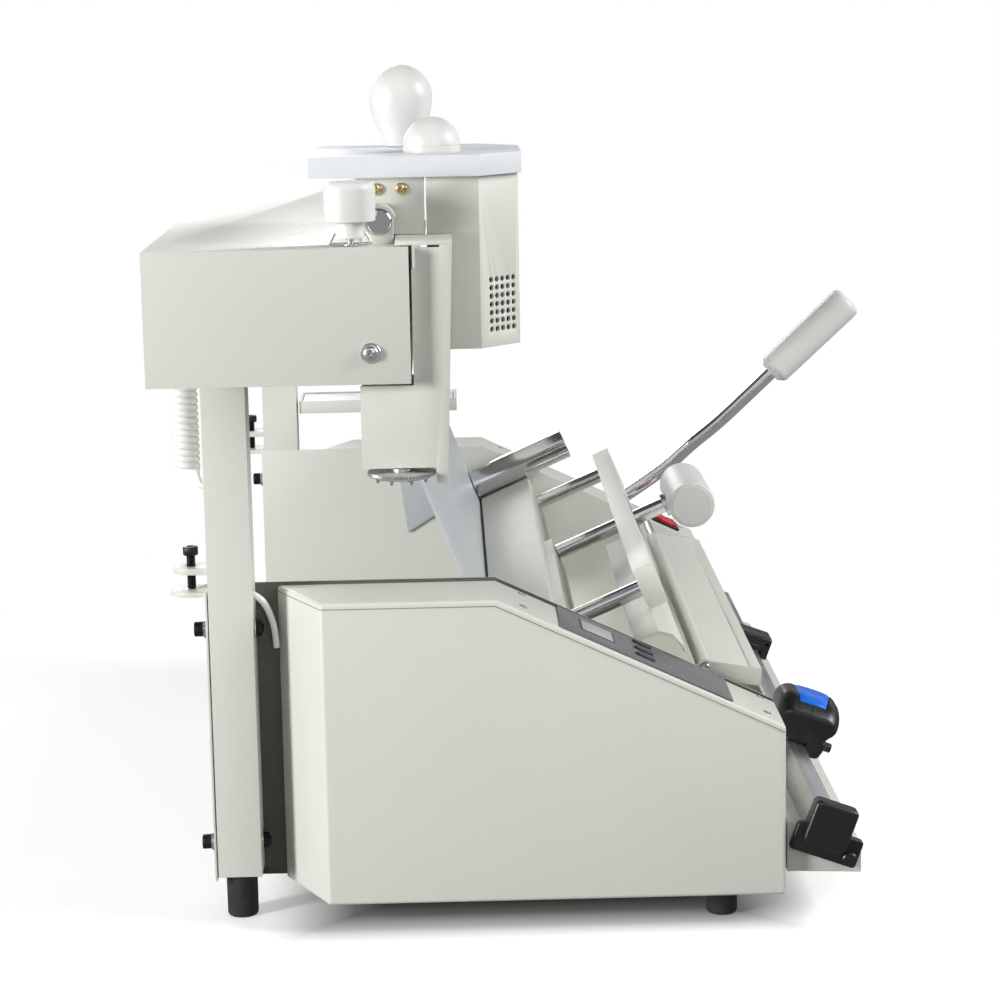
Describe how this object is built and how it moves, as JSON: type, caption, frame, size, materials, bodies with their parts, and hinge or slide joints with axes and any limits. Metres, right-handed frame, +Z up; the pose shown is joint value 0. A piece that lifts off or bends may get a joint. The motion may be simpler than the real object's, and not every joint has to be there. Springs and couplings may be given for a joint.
{
  "type": "desktop glue binding machine",
  "caption": "Desktop hot-glue book binder: side boxes, a leaning book clamp with a screw, a cutter carriage that slides on an overhead beam, a cover table with a guide, and a press lever.",
  "frame": {"origin": "on the table top, under the middle of the bounding box", "axes": "+X to the operator's right along the machine, -Y towards the operator, +Z up"},
  "size_m": [0.7002, 0.4734, 0.4839],
  "materials": {
    "body_paint": "satin powder coat, warm light grey",
    "cap_paint": "satin powder coat, cool white",
    "jaw_paint": "satin paint, pale blue grey",
    "white_plastic": "glossy off-white moulding",
    "black_plastic": "glossy black moulding",
    "blue_plastic": "blue moulding",
    "red_plastic": "red moulding",
    "panel_film": "grey-blue membrane film",
    "chrome": "bright plated steel",
    "steel": "brushed",
    "black_oxide": "black oxide finish",
    "rubber": "matte"
  },
  "bodies": {
    "base": {"base_pan": "body_paint", "near_side_plate": "body_paint", "far_side_plate": "body_paint", "near_housing": "body_paint", "far_housing": "body_paint", "near_rear_foot": "rubber", "far_rear_foot": "rubber", "near_front_foot": "rubber", "far_front_foot": "rubber", "near_post": "body_paint", "far_post": "body_paint", "near_jack_screw": "black_oxide", "far_jack_screw": "black_oxide", "near_lower_bolt": "black_oxide", "far_lower_bolt": "black_oxide", "near_upper_bolt": "black_oxide", "far_upper_bolt": "black_oxide", "top_beam": "body_paint", "beam_back_cover": "body_paint", "guide_shaft": "chrome", "knob_stand": "steel", "spiral_cable": "white_plastic", "glue_tray": "body_paint", "fixed_jaw": "jaw_paint", "near_guide_rod": "chrome", "far_guide_rod": "chrome", "clamp_bar": "body_paint", "side_stop_tube": "chrome", "press_shaft": "steel", "inner_cover": "body_paint", "lever_pivot": "steel", "front_table": "body_paint", "table_rail": "steel", "near_stop_block": "black_plastic", "far_stop_block": "black_plastic", "control_panel": "panel_film", "switch_bezel": "black_plastic"},
    "carriage": {"carriage_block": "body_paint", "carriage_cover": "body_paint", "carriage_cap": "cap_paint", "egg_handle": "white_plastic", "carriage_motor": "steel", "head_bracket": "body_paint", "cutter_housing": "body_paint"},
    "dome": {"dome_button": "white_plastic"},
    "cutter": {"cutter_disc": "steel"},
    "clamp_jaw": {"movable_jaw": "body_paint"},
    "screw": {"clamp_screw": "chrome", "t_handle": "white_plastic"},
    "press": {"press_bar": "body_paint"},
    "lever": {"lever_arm": "chrome", "lever_grip": "white_plastic"},
    "guide": {"side_guide": "black_plastic"},
    "guide_release": {"guide_button": "blue_plastic"},
    "guide_lock": {"guide_lock_knob": "black_plastic"},
    "top_knob": {"beam_knob": "white_plastic"},
    "button_right": {"right_button": "panel_film"},
    "button_middle": {"middle_button": "panel_film"},
    "button_left": {"left_button": "panel_film"},
    "rocker": {"power_switch": "red_plastic"}
  },
  "joints": [
    {"name": "carriage_slide", "type": "slide", "parent": "base", "child": "carriage", "axis": [1, 0, 0], "range_m": [0, 0.515]},
    {"name": "dome_press", "type": "slide", "parent": "carriage", "child": "dome", "axis": [0, 0, -1], "range_m": [0, 0.003]},
    {"name": "cutter_spin", "type": "hinge", "parent": "carriage", "child": "cutter", "pos_m": [-0.3319, 0.10235, 0.275], "axis": [0, 0, 1], "continuous": true},
    {"name": "clamp_screw_turn", "type": "hinge", "parent": "clamp_jaw", "child": "screw", "pos_m": [0.0021, 0.00723, 0.15895], "axis": [0, -0.9171, 0.3987], "range_deg": [0, 1800.1]},
    {"name": "jaw_slide", "type": "slide", "parent": "base", "child": "clamp_jaw", "axis": [0, -0.9171, 0.3987], "range_m": [0, 0.04]},
    {"name": "lever_swing", "type": "hinge", "parent": "base", "child": "lever", "pos_m": [0.2946, -0.03335, 0.125], "axis": [1, 0, 0], "range_deg": [0, 52]},
    {"name": "press_bar_swing", "type": "hinge", "parent": "base", "child": "press", "pos_m": [0.0021, -0.06839, 0.13676], "axis": [1, 0, 0], "range_deg": [-15, 0]},
    {"name": "guide_slide", "type": "slide", "parent": "base", "child": "guide", "axis": [1, 0, 0], "range_m": [-0.112, 0.199]},
    {"name": "guide_release_press", "type": "slide", "parent": "guide", "child": "guide_release", "axis": [0, 0.342, -0.9397], "range_m": [0, 0.0025]},
    {"name": "guide_lock_turn", "type": "hinge", "parent": "guide", "child": "guide_lock", "pos_m": [-0.1339, -0.15006, 0.06185], "axis": [0, -0.9397, -0.342], "range_deg": [-180, 180]},
    {"name": "top_knob_turn", "type": "hinge", "parent": "base", "child": "top_knob", "pos_m": [-0.3299, 0.12615, 0.398], "axis": [0, 0, 1], "range_deg": [0, 90]},
    {"name": "right_button_press", "type": "slide", "parent": "base", "child": "button_right", "axis": [0, 0.4269, -0.9043], "range_m": [0, 0.0009]},
    {"name": "middle_button_press", "type": "slide", "parent": "base", "child": "button_middle", "axis": [0, 0.4269, -0.9043], "range_m": [0, 0.0009]},
    {"name": "left_button_press", "type": "slide", "parent": "base", "child": "button_left", "axis": [0, 0.4269, -0.9043], "range_m": [0, 0.0009]},
    {"name": "rocker_tilt", "type": "hinge", "parent": "base", "child": "rocker", "pos_m": [0.2561, -0.0848, 0.12711], "axis": [1, 0, 0], "range_deg": [-8, 0]}
  ],
  "couplings": [
    {"joint": "clamp_screw_turn", "follows": "jaw_slide", "rad_per_m": 785.4},
    {"joint": "press_bar_swing", "follows": "lever_swing", "ratio": -0.28}
  ]
}
